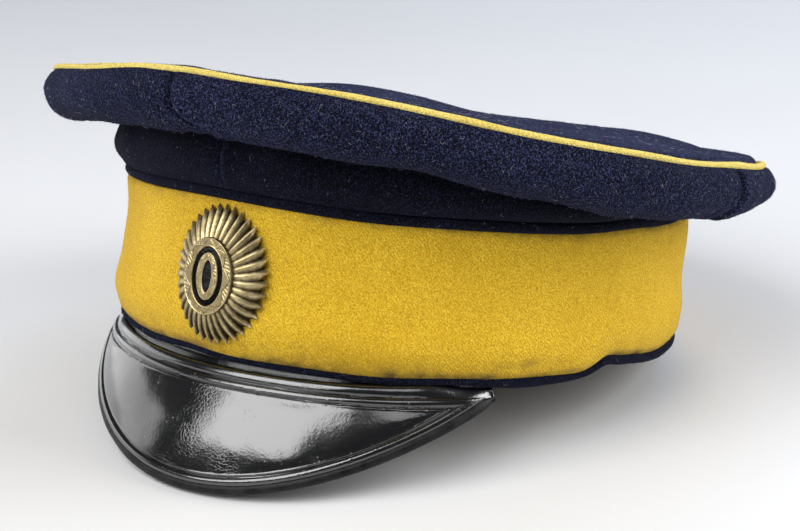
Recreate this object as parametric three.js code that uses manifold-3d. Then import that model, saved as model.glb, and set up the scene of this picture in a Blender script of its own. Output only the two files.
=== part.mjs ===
// A peaked cavalry service cap: a soft cloth crown with an overhanging roll and yellow piping, a yellow
// cloth band between two dark welts, a black lacquered peak with a bound edge, and a domed oval cockade of
// brass rays.
//
// The cap is built in its own upright frame and then tipped back the way it rests, on the rim of the peak
// and the rear of the band. Lengths are millimetres, +Z is up, the front of the cap faces -Y, and the
// wearer's left is +X. Angles run round the cap from 0 at the front, through 90 degrees at the wearer's
// left, to 180 at the back. Height 0 in the upright frame is the lower edge of the yellow band.
import * as THREE from 'three';
import Module from 'manifold-3d';

const wasm = await Module();
wasm.setup();

// Driving dimensions

const STEPS = 64; // facets round the cap, a multiple of four so that a seam falls on each quarter
const CLEARANCE = 0.3; // gap kept between neighbouring pieces
const WELD = 1e4; // corners that agree to this many parts of a millimetre are one corner

const BAND = {
  halfWidth: 92, // outer half width, ear to ear
  halfLength: 96, // outer half length, front to back
  height: 43,
  wall: 2.4, // cloth over its stiff strip
  topSaddle: 2.0, // how far the upper edge rises at front and back and dips at the sides
  swell: 3.1, // how far the lower front is pushed out by the peak
  tuck: 1.2, // how far the lower back is drawn in
};

const TOP_WELT = { height: 3.2, wall: 2.8, proud: 0.7 };
const LOWER_WELT = { height: 3.2, wall: 2.6, inset: 0.2 };
const WELT_ROUNDING = 0.3; // share of a welt's wall and height taken by its rounded edges

const CROWN = {
  halfWidth: 117, // at the piping
  halfLength: 111.7,
  shift: -4.4, // the crown sits a little forward of the band
  wall: 2.0, // thickness of the heavy cloth
  frontHeight: 41, // of the piping above the band's upper edge, at the front
  rollHeight: 17.2, // from the underside of the overhanging roll to the piping, at its deepest
  rollBulge: 4.2, // how far the roll stands out beyond the piping
  leastStand: 5.0, // the least height of the wall between band and roll
  creaseLift: 2.0, // how far the crease behind the roll sits above the roll's lower lip
  topDome: 3.0, // rise of the loose top cloth above its edge
  seamPucker: 1.1, // depth of the pinch along each of the four seams
  seamPuckerSpread: 5.0, // degrees
  seamGap: 0.15, // half the slit between two neighbouring quarters
};

const PIPING = { radius: 1.1, sides: 8 };

const PEAK = {
  halfAngle: 52, // degrees round the band, from the front to each corner
  reach: 14.8, // how far the rim stands forward of the band at the front
  drop: 33.2, // how far the rim hangs below the lower welt at the front
  wall: 1.9,
  arch: 3.4, // how far the sheet bows up between band and rim
  planPower: 1.43, // shape of the rim seen from above: 1 is half an ellipse, more draws the corners in
  dropPower: 1.6, // the same for the rim seen from the front
  flangeHeight: 9, // hidden margin sewn inside the band
  cornerWidth: 2.4, // width of the sheet where it ends at each corner
  steps: 28,
  rows: 4,
};

const BINDING = { gap: 0.5, thickness: 0.9, topWidth: 3.4, underWidth: 3.0, longestShare: 0.6 };

const COCKADE = {
  halfWidth: 16.8, // out to the tips of the rays
  halfHeight: 21.0,
  aboveMiddle: 1.3, // how far its centre is above the middle of the band
  rays: 36,
  rimLift: 0.7, // how far the base of the rays stands off the band
  domeRise: 4.6,
  domePower: 1.7, // 1 is a cone, more keeps the rise nearer the middle
  midRing: 0.45, // share of the way in from tips to plate where the rays change slope
  pleatDepth: 0.8,
  toothDepth: 1.5, // how far the notches between the ray tips cut in
  sheet: 0.7,
};
const RING = {
  halfWidth: 8.2,
  halfHeight: 11.4,
  innerHalfWidth: 4.9,
  innerHalfHeight: 8.3,
  thickness: 0.9,
};
const ENAMEL = { thickness: 0.4 };
const INNER_RING = {
  halfWidth: 3.8,
  halfHeight: 7.1,
  innerHalfWidth: 1.5,
  innerHalfHeight: 4.7,
  thickness: 0.6,
};
const POST = { radius: 1.1, sides: 12, beyondBand: 1.4 };

// Short tables of shape, in shares of the sizes above

// The outside of a crown quarter, from its foot on the band to its seam at the piping. across is the share
// of the way out from band to piping, bulge of CROWN.rollBulge, stand of the wall up to the crease, and
// roll of the roll's depth above its lower lip; a row has either a stand or a roll height.
const QUARTER_PROFILE = [
  { across: 0.05, bulge: 0.0, stand: 0.0 },
  { across: 0.17, bulge: 0.0, stand: 0.25 },
  { across: 0.2, bulge: 0.0, stand: 0.6 },
  { across: 0.14, bulge: 0.0, stand: 0.9 },
  { across: 0.24, bulge: 0.0, stand: 1.0 },
  { across: 0.52, bulge: 0.0, roll: 0.03 },
  { across: 0.84, bulge: 0.0, roll: 0.0 },
  { across: 1.0, bulge: 0.18, roll: 0.14 },
  { across: 1.0, bulge: 0.8, roll: 0.38 },
  { across: 1.0, bulge: 0.95, roll: 0.64 },
  { across: 1.0, bulge: 0.5, roll: 0.88 },
  { across: 1.0, bulge: 0.1, roll: 1.0 },
];
const QUARTER_POINTS = 13; // points sampled on that outline

// The band's outline: up is the share of its height, front the share of BAND.swell, back of BAND.tuck.
const BAND_PROFILE = [
  { up: 0.0, front: 0.35, back: 1.0 },
  { up: 0.18, front: 1.0, back: 0.35 },
  { up: 0.42, front: 0.5, back: 0.9 },
  { up: 0.7, front: 0.06, back: 0.5 },
  { up: 1.0, front: 0.0, back: 0.0 },
];

// The set of the soft crown: edge is the height of the piping as a share of CROWN.frontHeight, high at the
// front and slumped at the left rear, and roll is the depth of the overhanging roll as a share of
// CROWN.rollHeight. at is degrees round the cap, in equal steps.
const CROWN_SET = [
  { at: 0, edge: 1.0, roll: 0.965 },
  { at: 30, edge: 0.905, roll: 0.975 },
  { at: 60, edge: 0.683, roll: 1.0 },
  { at: 90, edge: 0.512, roll: 0.895 },
  { at: 120, edge: 0.382, roll: 0.84 },
  { at: 150, edge: 0.335, roll: 0.85 },
  { at: 180, edge: 0.318, roll: 0.86 },
  { at: 210, edge: 0.395, roll: 0.86 },
  { at: 240, edge: 0.52, roll: 0.87 },
  { at: 270, edge: 0.678, roll: 0.872 },
  { at: 300, edge: 0.756, roll: 0.826 },
  { at: 330, edge: 0.878, roll: 0.884 },
];

// Where the band's lower edge is rucked up: degrees round the cap, spread in degrees, and the rise as a
// share of BAND.height.
const BAND_LIFTS = [
  { at: 82, spread: 9, rise: 0.06 },
  { at: 104, spread: 14, rise: 0.02 },
];

// Rings of the top panel from its edge inwards: share of the way out from the centre, and of CROWN.topDome.
const TOP_RINGS = [
  { out: 1.0, dome: 0.0 },
  { out: 0.94, dome: 0.62 },
  { out: 0.78, dome: 1.0 },
  { out: 0.45, dome: 0.7 },
  { out: 0.0, dome: 0.4 },
];

const MATERIALS = {
  navyCloth: { color: 0x1c2450, roughness: 0.95, metalness: 0 },
  yellowCloth: { color: 0xe0a81e, roughness: 0.92, metalness: 0 },
  lacquer: { color: 0x0a0a0c, roughness: 0.18, metalness: 0 },
  brass: { color: 0x9a8248, roughness: 0.38, metalness: 0.9 },
  enamel: { color: 0x0c0c0e, roughness: 0.22, metalness: 0 },
};

// Helpers

const radians = THREE.MathUtils.degToRad;
const lerp = THREE.MathUtils.lerp;

function material(name) {
  return new THREE.MeshStandardMaterial({ name, ...MATERIALS[name], side: THREE.DoubleSide });
}

/** Sum of the smooth bumps in a table, in shares, at an angle in degrees. */
function bumps(table, degrees) {
  let sum = 0;
  for (const row of table) {
    const away = ((degrees - row.at + 540) % 360) - 180;
    sum += row.rise * Math.exp(-((away / row.spread) ** 2));
  }
  return sum;
}

/** A point of the upright cap: across is 0 on the band's outline, 1 on the piping's; out is further mm. */
function place(degrees, across, out, height) {
  const angle = radians(degrees);
  const halfWidth = lerp(BAND.halfWidth, CROWN.halfWidth, across) + out;
  const halfLength = lerp(BAND.halfLength, CROWN.halfLength, across) + out;
  return new THREE.Vector3(
    halfWidth * Math.sin(angle),
    across * CROWN.shift - halfLength * Math.cos(angle),
    height,
  );
}

/** Collects triangles on shared corners, so that the body they make is closed. */
class Solid {
  constructor() {
    this.corners = [];
    this.found = new Map();
    this.faces = [];
  }

  corner(point) {
    const key = point.toArray().map((v) => Math.round(v * WELD)).join();
    if (!this.found.has(key)) {
      this.found.set(key, this.corners.length);
      this.corners.push(point.clone());
    }
    return this.found.get(key);
  }

  triangle(a, b, c) {
    const face = [a, b, c].map((point) => this.corner(point));
    if (new Set(face).size === 3) this.faces.push(face);
  }

  quad(a, b, c, d) {
    this.triangle(a, b, c);
    this.triangle(a, c, d);
  }

  geometry() {
    const made = new THREE.BufferGeometry();
    const numbers = this.corners.flatMap((point) => point.toArray());
    made.setAttribute('position', new THREE.Float32BufferAttribute(numbers, 3));
    made.setIndex(this.faces.flat());
    made.computeVertexNormals();
    return made;
  }
}

/**
 * A sheet with two faces: outer[i][j] and inner[i][j] are the same grid, i round the cap and j across the
 * piece. The edges are closed, and so are the ends unless the sheet runs all the way round.
 */
function sheet(outer, inner, closedRound) {
  const solid = new Solid();
  const rows = outer.length;
  const last = outer[0].length - 1;
  const spans = closedRound ? rows : rows - 1;
  for (let i = 0; i < spans; i++) {
    const n = (i + 1) % rows;
    for (let j = 0; j < last; j++) {
      solid.quad(outer[i][j], outer[n][j], outer[n][j + 1], outer[i][j + 1]);
      solid.quad(inner[i][j], inner[i][j + 1], inner[n][j + 1], inner[n][j]);
    }
    solid.quad(inner[i][0], inner[n][0], outer[n][0], outer[i][0]);
    solid.quad(outer[i][last], outer[n][last], inner[n][last], inner[i][last]);
  }
  if (!closedRound) {
    const end = rows - 1;
    for (let j = 0; j < last; j++) {
      solid.quad(outer[0][j], outer[0][j + 1], inner[0][j + 1], inner[0][j]);
      solid.quad(inner[end][j], inner[end][j + 1], outer[end][j + 1], outer[end][j]);
    }
  }
  return solid.geometry();
}

/** A closed ring with a closed section: loops[i][j], i round the cap and j round the section. */
function ring(loops) {
  const solid = new Solid();
  loops.forEach((loop, i) => {
    const next = loops[(i + 1) % loops.length];
    loop.forEach((point, j) => {
      const k = (j + 1) % loop.length;
      solid.quad(point, next[j], next[k], loop[k]);
    });
  });
  return solid.geometry();
}

/** The angles of a stretch of the cap, in degrees, on the shared facets. */
function angles(from, to) {
  const count = Math.round(((to - from) / 360) * STEPS);
  return Array.from({ length: count + 1 }, (_, i) => from + ((to - from) * i) / count);
}

const ALL_ROUND = angles(0, 360).slice(0, -1);

function toManifold(geometry) {
  return new wasm.Manifold(
    new wasm.Mesh({
      numProp: 3,
      vertProperties: new Float32Array(geometry.getAttribute('position').array),
      triVerts: new Uint32Array(geometry.getIndex().array),
    }),
  );
}

function fromManifold(body) {
  const mesh = body.getMesh();
  const made = new THREE.BufferGeometry();
  made.setAttribute('position', new THREE.BufferAttribute(new Float32Array(mesh.vertProperties), 3));
  made.setIndex(Array.from(mesh.triVerts));
  made.computeVertexNormals();
  return made;
}

function piece(name, geometry, look) {
  const mesh = new THREE.Mesh(geometry, material(look));
  mesh.name = name;
  return mesh;
}

// Heights and outlines that several pieces share

/** Height of the band's lower edge. */
function bandFoot(degrees) {
  return BAND.height * bumps(BAND_LIFTS, degrees);
}

/** Height of the band's upper edge. */
function bandTop(degrees) {
  return BAND.height + BAND.topSaddle * Math.cos(radians(2 * degrees));
}

/** How far the band stands out from its plain outline at a share of its height. */
function bandOut(degrees, up) {
  const next = Math.max(1, BAND_PROFILE.findIndex((r) => r.up >= up));
  const [low, high] = [BAND_PROFILE[next - 1], BAND_PROFILE[next]];
  const share = (up - low.up) / (high.up - low.up);
  const front = (1 + Math.cos(radians(degrees))) / 2;
  const outFront = BAND.swell * lerp(low.front, high.front, share);
  const outBack = -BAND.tuck * lerp(low.back, high.back, share);
  return lerp(outBack, outFront, front);
}

/** A column of CROWN_SET at any angle, smooth all the way round. */
function crownSet(column, degrees) {
  const count = CROWN_SET.length;
  const along = ((degrees / 360) * count + count) % count;
  const row = Math.floor(along);
  const t = along - row;
  const [a, b, c, d] = [-1, 0, 1, 2].map((step) => CROWN_SET[(row + step + count) % count][column]);
  return b + (t / 2) * (c - a + t * (2 * a - 5 * b + 4 * c - d + t * (3 * b - a - 3 * c + d)));
}

/** Height of the piping's centre line. */
function crownEdge(degrees) {
  return BAND.height + CROWN.frontHeight * crownSet('edge', degrees);
}

/** Height of the foot of the crown, on top of the upper welt. */
function crownFoot(degrees) {
  return bandTop(degrees) + CLEARANCE + TOP_WELT.height + CLEARANCE;
}

/** How far the roll is pinched in near the nearest of the four seams. */
function pucker(degrees) {
  const away = ((degrees + 45 + 360) % 90) - 45;
  return CROWN.seamPucker * Math.exp(-((away / CROWN.seamPuckerSpread) ** 2));
}

// The band and its two welts

function bandGeometry() {
  const faces = (inset) =>
    ALL_ROUND.map((a) =>
      BAND_PROFILE.map(({ up }) => {
        const height = lerp(bandFoot(a), bandTop(a), up);
        return place(a, 0, bandOut(a, up) - inset, height);
      }),
    );
  return sheet(faces(0), faces(BAND.wall), true);
}

/** A flat welt's loops: the lower corner, the rounded outer face, the upper corner and the inner face. */
function weltLoops(low, height, wall, outAt) {
  return ALL_ROUND.map((a) => {
    const foot = low(a);
    const out = outAt(a);
    const rounding = wall * WELT_ROUNDING;
    return [
      place(a, 0, out - wall, foot),
      place(a, 0, out - rounding, foot),
      place(a, 0, out, foot + height * WELT_ROUNDING),
      place(a, 0, out, foot + height * (1 - WELT_ROUNDING)),
      place(a, 0, out - rounding, foot + height),
      place(a, 0, out - wall, foot + height),
    ];
  });
}

function topWeltGeometry() {
  const low = (a) => bandTop(a) + CLEARANCE;
  const out = (a) => bandOut(a, 1) + TOP_WELT.proud;
  return ring(weltLoops(low, TOP_WELT.height, TOP_WELT.wall, out));
}

function lowerWeltGeometry() {
  const low = (a) => bandFoot(a) - CLEARANCE - LOWER_WELT.height;
  const out = (a) => bandOut(a, 0) - LOWER_WELT.inset;
  return ring(weltLoops(low, LOWER_WELT.height, LOWER_WELT.wall, out));
}

// The crown: four side quarters, the piping and the top panel

/** The outside of a quarter at one angle: outward and height, with the share across and the rest beside. */
function quarterOutline(degrees) {
  const overhang = (CROWN.halfWidth + CROWN.halfLength - BAND.halfWidth - BAND.halfLength) / 2;
  const foot = crownFoot(degrees);
  const rollTop = crownEdge(degrees) - PIPING.radius - CLEARANCE;
  const lip = rollTop + PIPING.radius - CROWN.rollHeight * crownSet('roll', degrees);
  const stand = Math.max(CROWN.leastStand, lip + CROWN.creaseLift - foot);
  const pinch = pucker(degrees);
  const curve = new THREE.CatmullRomCurve3(
    QUARTER_PROFILE.map((row) => {
      const onRoll = row.roll !== undefined;
      const height = onRoll ? lerp(lip, rollTop, row.roll) : foot + stand * row.stand;
      const out = row.bulge * (CROWN.rollBulge - pinch);
      return new THREE.Vector3(row.across * overhang, out, height);
    }),
  );
  const points = curve.getSpacedPoints(QUARTER_POINTS - 1);
  return points.map((p) => ({ across: p.x / overhang, out: p.y, outward: p.x + p.y, height: p.z }));
}

/** The same outline moved inwards, square to itself, by the thickness of the cloth. */
function quarterInline(outline, wall) {
  return outline.map((point, j) => {
    const before = outline[Math.max(0, j - 1)];
    const after = outline[Math.min(outline.length - 1, j + 1)];
    const run = new THREE.Vector2(after.outward - before.outward, after.height - before.height);
    run.normalize();
    const level = j === 0 || j === outline.length - 1; // the foot and the seam are cut level
    const inward = level ? new THREE.Vector2(-1, 0) : new THREE.Vector2(-run.y, run.x);
    const out = point.out + inward.x * wall;
    return { across: point.across, out, height: point.height + inward.y * wall };
  });
}

function quarterGeometry(from, to) {
  const trim = (CROWN.seamGap / CROWN.halfLength) * (180 / Math.PI);
  const stations = angles(from, to);
  stations[0] += trim;
  stations[stations.length - 1] -= trim;
  const outlines = stations.map((a) => quarterOutline(a));
  const inlines = outlines.map((line) => quarterInline(line, CROWN.wall));
  const onCap = (line, i) => line.map((p) => place(stations[i], p.across, p.out, p.height));
  return sheet(outlines.map(onCap), inlines.map(onCap), false);
}

function pipingGeometry() {
  return ring(
    ALL_ROUND.map((a) =>
      Array.from({ length: PIPING.sides }, (_, j) => {
        const turn = (2 * Math.PI * (j + 0.5)) / PIPING.sides;
        const height = crownEdge(a) + PIPING.radius * Math.sin(turn);
        return place(a, 1, PIPING.radius * Math.cos(turn), height);
      }),
    ),
  );
}

/** Height of the top cloth: it hangs between opposite edges, and is domed above them. */
function topHeight(degrees, share, dome) {
  const near = crownEdge(degrees);
  const far = crownEdge(degrees + 180);
  const mean = CROWN_SET.reduce((sum, row) => sum + crownEdge(row.at), 0) / CROWN_SET.length;
  const lean = (near - far) / 2;
  const warp = (near + far) / 2 - mean;
  return mean + share * lean + share ** 2 * warp + CROWN.topDome * dome;
}

function topGeometry() {
  const edge = -(PIPING.radius + CLEARANCE);
  const centre = new THREE.Vector3(0, CROWN.shift, 0);
  const face = (down) =>
    ALL_ROUND.map((a) =>
      TOP_RINGS.map(({ out, dome }) => {
        const point = centre.clone().lerp(place(a, 1, edge, 0), out);
        return point.setZ(topHeight(a, out, dome) - down);
      }),
    );
  const half = CROWN.wall / 2;
  return sheet(face(-half), face(half), true);
}

// The peak: a lacquered sheet and the strip bound round its rim

/** The ends of the peak's section at a share from -1 to 1 round it: on the lower welt, and on the rim. */
function peakEnds(share) {
  const degrees = share * PEAK.halfAngle;
  const corner = radians(PEAK.halfAngle);
  const turn = share * (Math.PI / 2);
  const near = Math.max(Math.cos(turn), 0);
  const foot = bandFoot(degrees) - 2 * CLEARANCE - LOWER_WELT.height - PEAK.wall / 2;
  const root = place(degrees, 0, bandOut(degrees, 0) - LOWER_WELT.inset - BAND.wall / 2, foot);
  const cornerY = BAND.halfLength * Math.cos(corner);
  const rim = new THREE.Vector3(
    BAND.halfWidth * Math.sin(corner) * Math.sin(turn),
    -lerp(cornerY, BAND.halfLength + PEAK.reach, near ** PEAK.planPower),
    foot - lerp(PEAK.cornerWidth, PEAK.drop, near ** PEAK.dropPower),
  );
  return { root, rim };
}

/** The peak's middle surface from root to rim, with its length and the upward normal of each point. */
function peakSection(share, steps) {
  const { root, rim } = peakEnds(share);
  const chord = rim.clone().sub(root);
  const length = chord.length();
  const level = new THREE.Vector3(-chord.y, chord.x, 0).normalize();
  const up = new THREE.Vector3().crossVectors(chord, level).normalize();
  if (up.z < 0) up.negate();
  const arch = PEAK.arch * Math.min(1, length / PEAK.drop);
  const at = (v) => {
    const point = root.clone().addScaledVector(chord, v);
    return point.addScaledVector(up, arch * 4 * v * (1 - v));
  };
  const normal = (v) => {
    const run = chord.clone().addScaledVector(up, arch * 4 * (1 - 2 * v)).normalize();
    return up.clone().addScaledVector(run, -up.dot(run)).normalize();
  };
  return { length, at, normal, points: Array.from({ length: steps + 1 }, (_, j) => j / steps) };
}

function peakShares() {
  return Array.from({ length: PEAK.steps + 1 }, (_, i) => (2 * i) / PEAK.steps - 1);
}

function peakGeometry() {
  const half = PEAK.wall / 2;
  const face = (side) =>
    peakShares().map((share) => {
      const section = peakSection(share, PEAK.rows);
      const degrees = share * PEAK.halfAngle;
      const welt = bandOut(degrees, 0) - LOWER_WELT.inset - LOWER_WELT.wall;
      const inside = welt - CLEARANCE - half + side * half;
      const flange = [PEAK.flangeHeight, -2 * CLEARANCE - LOWER_WELT.height].map((height) =>
        place(degrees, 0, inside, bandFoot(degrees) + height),
      );
      const blade = section.points.map((v) =>
        section.at(v).addScaledVector(section.normal(v), side * half),
      );
      return [...flange, ...blade];
    });
  return sheet(face(-1), face(1), false);
}

function bindingGeometry() {
  const half = PEAK.wall / 2;
  const clear = half + BINDING.gap;
  const full = clear + BINDING.thickness;
  const inner = peakShares().slice(2, -2);
  const lines = inner.map((share) => {
    const section = peakSection(share, PEAK.rows);
    const rim = section.at(1);
    const away = new THREE.Vector3().subVectors(rim, section.at(1 - 1 / PEAK.rows)).normalize();
    const up = section.normal(1);
    up.addScaledVector(away, -up.dot(away)).normalize();
    const longest = section.length * BINDING.longestShare;
    const top = Math.min(BINDING.topWidth, longest);
    const under = Math.min(BINDING.underWidth, longest);
    const at = (out, height) => rim.clone().addScaledVector(away, out).addScaledVector(up, height);
    return {
      outer: [
        at(-top, full),
        at(0, full),
        at(BINDING.gap + BINDING.thickness, half),
        at(BINDING.gap + BINDING.thickness, -half),
        at(0, -full),
        at(-under, -full),
      ],
      inner: [
        at(-top, clear),
        at(0, clear),
        at(BINDING.gap, half),
        at(BINDING.gap, -half),
        at(0, -clear),
        at(-under, -clear),
      ],
    };
  });
  return sheet(lines.map((l) => l.inner), lines.map((l) => l.outer), false);
}

// The cockade, made flat on the front of the band and then bent round it

const cockadeCentre = bandTop(0) / 2 + COCKADE.aboveMiddle;

/** How far the cockade's back stands off the plain outline: it bridges from the swell to the upper edge. */
function cockadeSeat(height) {
  const swell = BAND_PROFILE[1].up;
  const share = (height / bandTop(0) - swell) / (1 - swell);
  return lerp(bandOut(0, swell), bandOut(0, 1), share);
}

/** A point of the cockade: right and up on its face, and its distance off the cockade's back. */
function onBand(right, up, off) {
  const degrees = THREE.MathUtils.radToDeg(Math.asin(right / BAND.halfWidth));
  const height = cockadeCentre + up;
  return place(degrees, 0, cockadeSeat(height) + off, height);
}

/** Height of the cockade's dome off the band, at a share of the way from its centre to its rim. */
function domeOff(share) {
  const flat = RING.halfWidth / COCKADE.halfWidth;
  const fall = THREE.MathUtils.clamp((share - flat) / (1 - flat), 0, 1);
  return COCKADE.rimLift + COCKADE.domeRise * (1 - fall ** COCKADE.domePower);
}

function raysGeometry() {
  const spokes = COCKADE.rays * 2;
  const flat = RING.halfWidth / COCKADE.halfWidth;
  const shares = [1, lerp(1, flat, COCKADE.midRing), flat, 0];
  const face = (lower) =>
    Array.from({ length: spokes }, (_, i) => {
      const turn = (-2 * Math.PI * i) / spokes;
      const valley = i % 2;
      return shares.map((share, j) => {
        const tip = j === 0 ? 1 - valley * (COCKADE.toothDepth / COCKADE.halfHeight) : share;
        const pleat = share > flat ? valley * COCKADE.pleatDepth * share : 0;
        const off = Math.max(domeOff(share) - pleat, CLEARANCE + COCKADE.sheet) - lower;
        const right = COCKADE.halfWidth * tip * Math.sin(turn);
        return onBand(right, COCKADE.halfHeight * tip * Math.cos(turn), off);
      });
    });
  return sheet(face(0), face(COCKADE.sheet), true);
}

/** An oval plate or oval ring of the cockade, between two heights off the band. */
function ovalGeometry(outer, hole, low, high) {
  const sides = 32;
  const oval = (size, off) =>
    Array.from({ length: sides }, (_, i) => {
      const turn = (-2 * Math.PI * i) / sides;
      return onBand(size.halfWidth * Math.sin(turn), size.halfHeight * Math.cos(turn), off);
    });
  const centre = { halfWidth: hole ? hole.halfWidth : 0, halfHeight: hole ? hole.halfHeight : 0 };
  const rows = (off) => {
    const rim = oval(outer, off);
    const middle = oval(centre, off);
    return rim.map((point, i) => [point, middle[i]]);
  };
  return sheet(rows(high), rows(low), true);
}

/** The post that holds the cockade: it runs in from behind the dome, through the band. */
function postGeometry(radius) {
  const bandFace = BAND.halfLength + bandOut(0, cockadeCentre / bandTop(0));
  const from = bandFace - BAND.wall - POST.beyondBand;
  const to = BAND.halfLength + cockadeSeat(cockadeCentre) + domeOff(0) - COCKADE.sheet / 2;
  const half = Math.PI / POST.sides;
  const post = new THREE.CylinderGeometry(radius, radius, to - from, POST.sides, 1, false, half);
  post.translate(0, -(from + to) / 2, cockadeCentre);
  return post;
}

/** A cylinder as one closed body: only the corners count, so its doubled ones are joined. */
function closedPost(radius) {
  const post = postGeometry(radius);
  const solid = new Solid();
  const position = post.getAttribute('position');
  const index = post.getIndex();
  const point = (i) => new THREE.Vector3().fromBufferAttribute(position, index.getX(i));
  for (let i = 0; i < index.count; i += 3) solid.triangle(point(i), point(i + 1), point(i + 2));
  return solid.geometry();
}

function cockadePieces() {
  const rays = toManifold(raysGeometry()).add(toManifold(closedPost(POST.radius)));
  const seat = domeOff(0) + CLEARANCE;
  const enamelTop = seat + ENAMEL.thickness;
  const raised = enamelTop + CLEARANCE;
  const hole = (size) => ({ halfWidth: size.innerHalfWidth, halfHeight: size.innerHalfHeight });
  const channel = {
    halfWidth: RING.innerHalfWidth - CLEARANCE,
    halfHeight: RING.innerHalfHeight - CLEARANCE,
  };
  const plate = ovalGeometry(RING, hole(RING), seat, seat + RING.thickness);
  const middle = ovalGeometry(INNER_RING, hole(INNER_RING), raised, raised + INNER_RING.thickness);
  return [
    piece('cockade_rays', fromManifold(rays), 'brass'),
    piece('cockade_ring', plate, 'brass'),
    piece('cockade_enamel', ovalGeometry(channel, null, seat, enamelTop), 'enamel'),
    piece('cockade_inner_ring', middle, 'brass'),
  ];
}

function band() {
  const hole = toManifold(closedPost(POST.radius + CLEARANCE));
  return piece('band', fromManifold(toManifold(bandGeometry()).subtract(hole)), 'yellowCloth');
}

// The whole cap, tipped back until the rim of the peak and the rear of the lower welt stand on one level

function lowest(mesh, tip) {
  const turned = new THREE.Matrix4().makeRotationX(-tip);
  const position = mesh.geometry.getAttribute('position');
  let low = Infinity;
  for (let i = 0; i < position.count; i++) {
    low = Math.min(low, new THREE.Vector3().fromBufferAttribute(position, i).applyMatrix4(turned).z);
  }
  return low;
}

function restTip(front, rear) {
  let [less, more] = [0, Math.PI / 4];
  for (let i = 0; i < 40; i++) {
    const tip = (less + more) / 2;
    if (lowest(front, tip) < lowest(rear, tip)) less = tip;
    else more = tip;
  }
  return (less + more) / 2;
}

const binding = piece('peak_binding', bindingGeometry(), 'lacquer');
const lowerWelt = piece('band_lower_welt', lowerWeltGeometry(), 'navyCloth');

const cap = new THREE.Group();
cap.add(
  piece('crown_top', topGeometry(), 'navyCloth'),
  piece('crown_quarter_front_left', quarterGeometry(0, 90), 'navyCloth'),
  piece('crown_quarter_rear_left', quarterGeometry(90, 180), 'navyCloth'),
  piece('crown_quarter_rear_right', quarterGeometry(180, 270), 'navyCloth'),
  piece('crown_quarter_front_right', quarterGeometry(270, 360), 'navyCloth'),
  piece('crown_piping', pipingGeometry(), 'yellowCloth'),
  piece('band_top_welt', topWeltGeometry(), 'navyCloth'),
  band(),
  lowerWelt,
  piece('peak', peakGeometry(), 'lacquer'),
  binding,
  ...cockadePieces(),
);
cap.rotation.x = -restTip(binding, lowerWelt);

// The origin is the middle of the ground under the resting cap.
const model = new THREE.Group();
model.add(cap);
model.updateMatrixWorld(true);
const extent = new THREE.Box3().setFromObject(model, true);
const centre = extent.getCenter(new THREE.Vector3());
cap.position.set(-centre.x, -centre.y, -extent.min.z);

export default model;
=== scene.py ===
import math

import bpy
import numpy as np
from mathutils import Matrix, Vector


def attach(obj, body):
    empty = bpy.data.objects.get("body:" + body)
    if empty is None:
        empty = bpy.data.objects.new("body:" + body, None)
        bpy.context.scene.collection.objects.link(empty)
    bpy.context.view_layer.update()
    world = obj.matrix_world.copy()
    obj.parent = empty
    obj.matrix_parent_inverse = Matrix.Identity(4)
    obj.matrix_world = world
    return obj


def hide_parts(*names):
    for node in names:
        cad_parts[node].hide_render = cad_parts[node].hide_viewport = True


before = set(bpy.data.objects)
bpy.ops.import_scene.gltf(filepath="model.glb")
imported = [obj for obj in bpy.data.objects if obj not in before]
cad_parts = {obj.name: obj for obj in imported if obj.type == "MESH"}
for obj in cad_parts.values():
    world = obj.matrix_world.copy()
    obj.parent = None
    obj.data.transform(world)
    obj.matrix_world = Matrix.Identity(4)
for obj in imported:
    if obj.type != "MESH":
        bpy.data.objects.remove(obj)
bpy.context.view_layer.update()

# The cap is worked out upright, in millimetres, with height 0 at the band's lower edge, and then
# tipped back onto the rim of its peak. Angles run in degrees from 0 at the front, through 90 at
# the wearer's left, to 180 at the back. Names that end in _W are half widths, in _L half lengths
# from front to back, in _H heights and in _R radii.

TIP = math.radians(10.0074)
LIFT = np.array([-0.013, 0.416, 19.750])  # sets the tipped cap on the floor, over the origin

BAND_W, BAND_L, BAND_H, BAND_WALL = 92.0, 96.0, 43.0, 2.4
BAND_SADDLE, BAND_SWELL, BAND_TUCK = 2.0, 3.1, 1.2
CROWN_W, CROWN_L, CROWN_SHIFT, CROWN_WALL = 117.0, 111.7, -4.4, 2.0
FRONT_H, ROLL_H, ROLL_BULGE = 41.0, 17.2, 4.2
LEAST_STAND, CREASE_LIFT = 5.0, 2.0
PIPING_R, GAP = 1.1, 0.3
WELT_H, TOP_WELT_WALL, TOP_WELT_PROUD = 3.2, 2.8, 0.7
LOWER_WELT_WALL, LOWER_WELT_INSET = 2.6, 0.2

# Every 30 degrees from the front: the piping's height above the band as a share of FRONT_H, and
# the depth of the roll below it as a share of ROLL_H
CROWN_EDGE = [1.0, 0.905, 0.683, 0.512, 0.382, 0.335, 0.318, 0.395, 0.52, 0.678, 0.756, 0.878]
CROWN_ROLL = [0.965, 0.975, 1.0, 0.895, 0.84, 0.85, 0.86, 0.86, 0.87, 0.872, 0.826, 0.884]


def lerp(a, b, t):
    return a + (b - a) * t


def smooth(t, low=0.0, high=1.0):
    """From 0 at low to 1 at high, with soft ends."""
    t = np.clip((t - low) / (high - low), 0, 1)
    return t * t * (3 - 2 * t)


def bump(x, at, spread):
    """A soft bump one high, about that wide on either side."""
    return np.exp(-(((x - at) / spread) ** 2))


def hump(x, at, half):
    """A round bead of that half width, one high."""
    return np.sqrt(np.maximum(0, 1 - ((x - at) / half) ** 2))


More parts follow.
